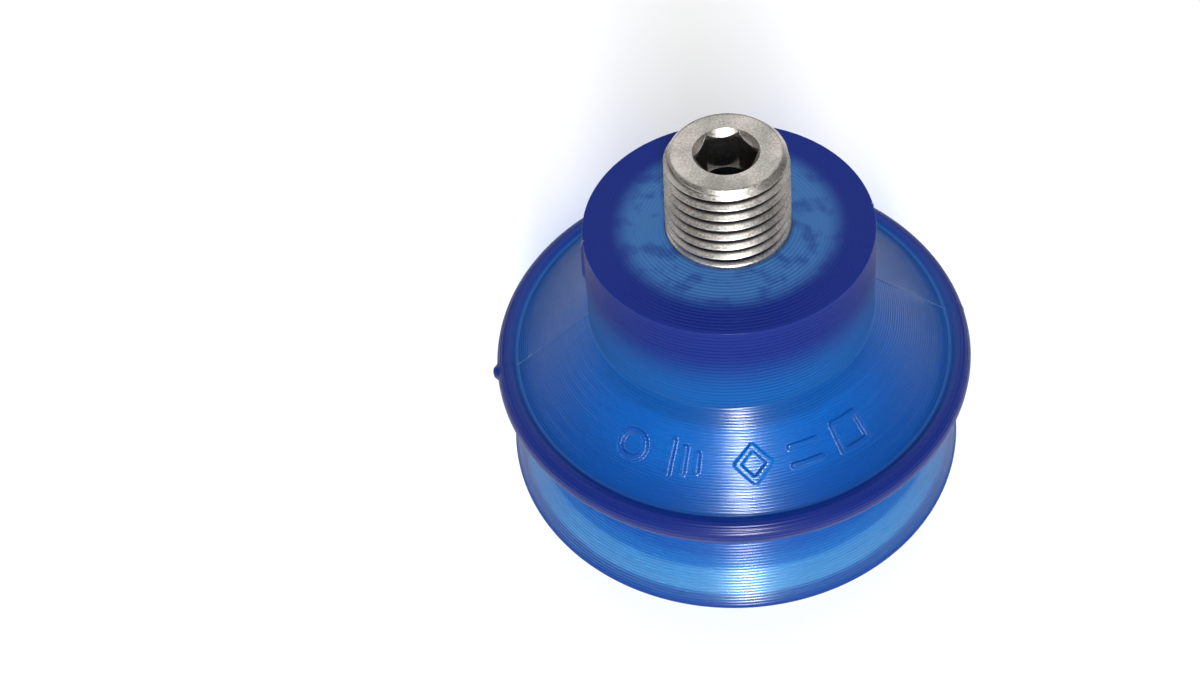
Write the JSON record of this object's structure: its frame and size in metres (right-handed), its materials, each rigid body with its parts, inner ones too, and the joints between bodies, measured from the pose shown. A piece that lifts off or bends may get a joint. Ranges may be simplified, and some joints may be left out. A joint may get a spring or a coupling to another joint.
{
  "type": "bellows vacuum cup",
  "caption": "Round bellows vacuum cup of translucent polyurethane with one and a half folds, moulded onto a threaded steel fitting with a hex key socket and a vacuum passage.",
  "frame": {"origin": "centre of the lip's sealing face", "axes": "+Z along the cup's axis, from the lip to the thread; +X and +Y across it"},
  "size_m": [0.0566, 0.0566, 0.0459],
  "materials": {
    "polyurethane": "translucent, fine turned marks",
    "steel": "turned, dulled by handling; any plating is a guess"
  },
  "bodies": {
    "neck": {"threaded_fitting": "steel", "neck_boss": "polyurethane", "upper_wall": "polyurethane"},
    "fold": {"fold_bead": "polyurethane", "fold_web": "polyurethane"},
    "throat": {"throat_ring": "polyurethane", "lip_upper_wall": "polyurethane"},
    "shoulder": {"lip_shoulder": "polyurethane", "lip_lower_wall": "polyurethane"},
    "lip": {"lip_edge": "polyurethane"}
  },
  "joints": [
    {"name": "fold_stroke", "type": "slide", "parent": "neck", "child": "fold", "axis": [0, 0, 1], "range_m": [0, 0.0065], "stiffness_N_per_m": 2000, "deforming": ["upper_wall"]},
    {"name": "lip_tilt_x", "type": "hinge", "parent": "fold", "child": "throat", "pos_m": [0, 0, 0.0122], "axis": [1, 0, 0], "range_deg": [-6, 6], "stiffness_Nm_per_rad": 0.8, "deforming": ["fold_web"]},
    {"name": "lip_tilt_y", "type": "hinge", "parent": "throat", "child": "shoulder", "pos_m": [0, 0, 0.008], "axis": [0, 1, 0], "range_deg": [-6, 6], "stiffness_Nm_per_rad": 0.8, "deforming": ["lip_upper_wall"]},
    {"name": "lip_flatten", "type": "slide", "parent": "shoulder", "child": "lip", "axis": [0, 0, 1], "range_m": [0, 0.0035], "stiffness_N_per_m": 2000, "deforming": ["lip_lower_wall"]}
  ],
  "couplings": [
    {"joint": "lip_flatten", "follows": "fold_stroke", "ratio": 0.538}
  ]
}
